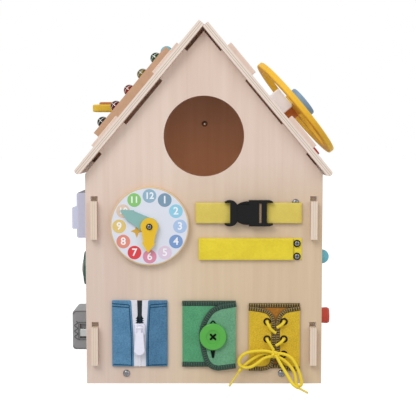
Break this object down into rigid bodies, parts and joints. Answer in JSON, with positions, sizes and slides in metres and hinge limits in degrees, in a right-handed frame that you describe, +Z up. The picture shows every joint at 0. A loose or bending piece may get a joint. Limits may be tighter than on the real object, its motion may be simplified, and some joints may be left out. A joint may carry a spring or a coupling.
{
  "type": "busy board",
  "caption": "House-shaped wooden activity board with a clock, buckle, zipper, button, lacing, bells, wheel, door and other things to move.",
  "frame": {"origin": "on the floor under the middle of the house", "axes": "+X to the right seen from the front, +Y from the front panel to the back panel, +Z up"},
  "size_m": [0.3473, 0.3209, 0.444],
  "materials": {
    "birch_ply": "satin",
    "teal_wood": "satin paint",
    "yellow_wood": "satin paint",
    "orange_wood": "satin paint",
    "red_wood": "satin paint",
    "white_wood": "satin paint",
    "lilac_wood": "satin paint",
    "blue_wood": "satin paint",
    "steel": "bright",
    "black_steel": "satin",
    "black_plastic": "gloss",
    "grey_plastic": "matt",
    "lavender_plastic": "matt",
    "dark_teal_plastic": "gloss",
    "green_plastic": "gloss",
    "red_plastic": "gloss",
    "webbing": "woven",
    "yellow_velcro": "woven",
    "denim": "woven",
    "white_tape": "woven",
    "green_felt": "felt",
    "yellow_felt": "felt",
    "lace": "braided",
    "aglet_plastic": "clear",
    "bell_green": "gloss",
    "bell_yellow": "gloss",
    "bell_red": "gloss",
    "bell_crimson": "gloss",
    "bell_silver": "gloss"
  },
  "bodies": {
    "house": {"front_panel": "birch_ply", "back_panel": "birch_ply", "left_wall": "birch_ply", "right_wall": "birch_ply", "base_board": "birch_ply", "left_roof": "birch_ply", "right_roof": "birch_ply", "steel_screws": "steel", "black_screws": "black_steel", "clock_face": "lilac_wood", "buckle_strap_left": "webbing", "buckle_strap_right": "webbing", "buckle_socket": "black_plastic", "velcro_base": "yellow_velcro", "zip_panel": "denim", "zip_tapes": "white_tape", "button_panel": "green_felt", "button_flap": "green_felt", "lace_panel": "yellow_felt", "lace_eyelets": "black_steel", "lacing": "lace", "lace_loop_left": "lace", "lace_loop_right": "lace", "lace_tail_left": "lace", "lace_tail_right": "lace", "aglets": "aglet_plastic", "switch_box": "lavender_plastic", "latch_case": "grey_plastic", "wall_leaves": "steel", "roof_mounts": "birch_ply", "pivots": "steel", "wheel_spacer": "orange_wood", "white_block": "white_wood", "red_plate": "red_wood"},
    "minute_hand": {"minute_hand": "teal_wood"},
    "hour_hand": {"hour_hand": "yellow_wood"},
    "buckle_plug": {"buckle_plug": "black_plastic"},
    "velcro_flap": {"velcro_flap": "yellow_velcro"},
    "zip_slider": {"zip_slider": "steel"},
    "zip_pull": {"zip_pull": "steel"},
    "button": {"button": "green_plastic"},
    "switch_key": {"switch_key": "lavender_plastic"},
    "dial": {"turn_dial": "dark_teal_plastic", "dial_cap": "red_plastic"},
    "latch_slider": {"latch_slider": "steel"},
    "door": {"side_door": "birch_ply", "door_leaves": "steel", "door_knob": "teal_wood"},
    "turn_knob": {"turn_knob": "red_wood"},
    "track_peg": {"track_peg": "teal_wood"},
    "yellow_paddle": {"yellow_paddle": "yellow_wood"},
    "orange_paddle": {"orange_paddle": "orange_wood"},
    "wheel": {"steering_wheel": "yellow_wood", "wheel_cap": "blue_wood"},
    "back_spinner": {"back_spinner": "teal_wood"},
    "bell_green": {"bell_green": "bell_green"},
    "bell_yellow": {"bell_yellow": "bell_yellow"},
    "bell_red": {"bell_red": "bell_red"},
    "bell_crimson": {"bell_crimson": "bell_crimson"},
    "bell_silver": {"bell_silver": "bell_silver"}
  },
  "joints": [
    {"name": "minute_hand_turn", "type": "hinge", "parent": "house", "child": "minute_hand", "pos_m": [-0.066, -0.128, 0.196], "axis": [0, 1, 0], "continuous": true},
    {"name": "hour_hand_turn", "type": "hinge", "parent": "house", "child": "hour_hand", "pos_m": [-0.066, -0.128, 0.196], "axis": [0, 1, 0], "continuous": true},
    {"name": "buckle_release", "type": "slide", "parent": "house", "child": "buckle_plug", "axis": [-1, 0, 0], "range_m": [0, 0.014]},
    {"name": "strap_peel", "type": "hinge", "parent": "house", "child": "velcro_flap", "pos_m": [0.1079, -0.1309, 0.1677], "axis": [0, 0, 1], "range_deg": [0, 115]},
    {"name": "zipper_slide", "type": "slide", "parent": "house", "child": "zip_slider", "axis": [0, 0, 1], "range_m": [-0.036, 0.024]},
    {"name": "zipper_pull_swing", "type": "hinge", "parent": "zip_slider", "child": "zip_pull", "pos_m": [-0.0789, -0.137, 0.0718], "axis": [-1, 0, 0], "range_deg": [0, 150]},
    {"name": "button_turn", "type": "hinge", "parent": "house", "child": "button", "pos_m": [0.0111, -0.128, 0.0603], "axis": [0, 1, 0], "range_deg": [-30, 30]},
    {"name": "switch_press", "type": "slide", "parent": "house", "child": "switch_key", "axis": [1, 0, 0], "range_m": [0, 0.004], "stiffness_N_per_m": 400},
    {"name": "dial_turn", "type": "hinge", "parent": "house", "child": "dial", "pos_m": [-0.138, -0.072, 0.137], "axis": [1, 0, 0], "continuous": true},
    {"name": "latch_slide", "type": "slide", "parent": "house", "child": "latch_slider", "axis": [0, 0, 1], "range_m": [-0.0025, 0.006]},
    {"name": "door_swing", "type": "hinge", "parent": "house", "child": "door", "pos_m": [0.1406, 0.0344, 0.147], "axis": [0, 0, 1], "range_deg": [0, 115]},
    {"name": "turn_knob_turn", "type": "hinge", "parent": "house", "child": "turn_knob", "pos_m": [0.138, -0.028, 0.0673], "axis": [1, 0, 0], "continuous": true},
    {"name": "bell_green_swing", "type": "hinge", "parent": "house", "child": "bell_green", "pos_m": [-0.05615, -0.0698, 0.39962], "axis": [-0.6428, 0, -0.766], "range_deg": [-4, 60]},
    {"name": "bell_yellow_swing", "type": "hinge", "parent": "house", "child": "bell_yellow", "pos_m": [-0.07299, -0.0698, 0.37955], "axis": [-0.6428, 0, -0.766], "range_deg": [-4, 60]},
    {"name": "bell_red_swing", "type": "hinge", "parent": "house", "child": "bell_red", "pos_m": [-0.08983, -0.0698, 0.35948], "axis": [-0.6428, 0, -0.766], "range_deg": [-4, 60]},
    {"name": "bell_crimson_swing", "type": "hinge", "parent": "house", "child": "bell_crimson", "pos_m": [-0.10668, -0.0698, 0.33941], "axis": [-0.6428, 0, -0.766], "range_deg": [-4, 60]},
    {"name": "bell_silver_swing", "type": "hinge", "parent": "house", "child": "bell_silver", "pos_m": [-0.12352, -0.0698, 0.31934], "axis": [-0.6428, 0, -0.766], "range_deg": [-4, 60]},
    {"name": "track_peg_slide", "type": "slide", "parent": "house", "child": "track_peg", "axis": [-0.6428, 0, -0.766], "range_m": [0, 0.036]},
    {"name": "yellow_paddle_flap", "type": "hinge", "parent": "house", "child": "yellow_paddle", "pos_m": [-0.10553, -0.035, 0.34171], "axis": [0, 1, 0], "range_deg": [-50, 125]},
    {"name": "orange_paddle_flap", "type": "hinge", "parent": "house", "child": "orange_paddle", "pos_m": [-0.10553, -0.007, 0.34171], "axis": [0, 1, 0], "range_deg": [-50, 125]},
    {"name": "wheel_turn", "type": "hinge", "parent": "house", "child": "wheel", "pos_m": [0.11917, 0, 0.34102], "axis": [0.766, 0, 0.6428], "continuous": true},
    {"name": "back_spinner_turn", "type": "hinge", "parent": "house", "child": "back_spinner", "pos_m": [0, 0.128, 0.324], "axis": [0, 1, 0], "continuous": true}
  ]
}
